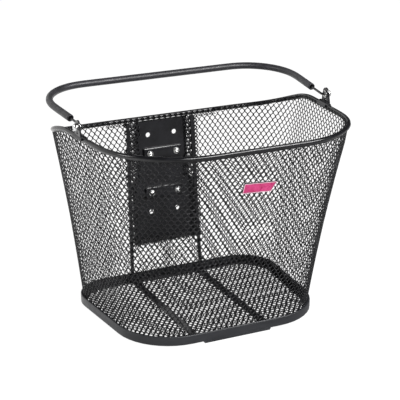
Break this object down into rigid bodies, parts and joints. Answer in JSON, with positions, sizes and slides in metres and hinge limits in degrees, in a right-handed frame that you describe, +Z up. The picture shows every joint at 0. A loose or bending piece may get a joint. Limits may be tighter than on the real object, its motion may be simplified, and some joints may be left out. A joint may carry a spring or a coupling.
{
  "type": "bicycle handlebar basket",
  "caption": "Tapered wire-mesh handlebar basket with round corners, an open top, a moulded base ring, a bolted back plate with rear hooks and a hinged carrying handle.",
  "frame": {"origin": "bottom centre of the bounding box, on the ground under the base ring", "axes": "+Z up, -Y towards the front wall with the badge, +Y towards the bicycle, +X to the right seen from the front wall"},
  "size_m": [0.3468, 0.2998, 0.2792],
  "materials": {
    "black_coat": "satin black powder coat",
    "black_plastic": "moulded, matt",
    "vinyl_sleeve": "soft sheen",
    "zinc": "bright zinc",
    "badge_pink": "gloss"
  },
  "bodies": {
    "basket": {"rim_wire": "black_coat", "wall_mesh": "black_coat", "floor_mesh": "black_coat", "floor_stay_left": "black_coat", "floor_stay_right": "black_coat", "base_ring": "black_plastic", "back_plate": "black_coat", "back_upright_left": "black_coat", "back_upright_right": "black_coat", "clamp_bar_upper": "black_coat", "clamp_bar_lower": "black_coat", "rear_adapter": "black_plastic", "badge": "badge_pink", "badge_clip": "black_plastic", "pivot_bracket_left": "black_coat", "pivot_bracket_right": "black_coat", "plate_bolt_upper_left": "zinc", "plate_washer_upper_left": "zinc", "plate_nut_upper_left": "zinc", "plate_bolt_upper_right": "zinc", "plate_washer_upper_right": "zinc", "plate_nut_upper_right": "zinc", "plate_bolt_lower_left": "zinc", "plate_washer_lower_left": "zinc", "plate_nut_lower_left": "zinc", "plate_bolt_lower_right": "zinc", "plate_washer_lower_right": "zinc", "plate_nut_lower_right": "zinc"},
    "handle": {"handle_wire": "black_coat", "handle_sleeve": "vinyl_sleeve", "handle_washer_inner_left": "zinc", "handle_washer_outer_left": "zinc", "handle_cap_left": "zinc", "handle_washer_inner_right": "zinc", "handle_washer_outer_right": "zinc", "handle_cap_right": "zinc"}
  },
  "joints": [
    {"name": "handle_fold", "type": "hinge", "parent": "basket", "child": "handle", "pos_m": [0, -0.0088, 0.2654], "axis": [1, 0, 0], "range_deg": [-12, 178]}
  ]
}
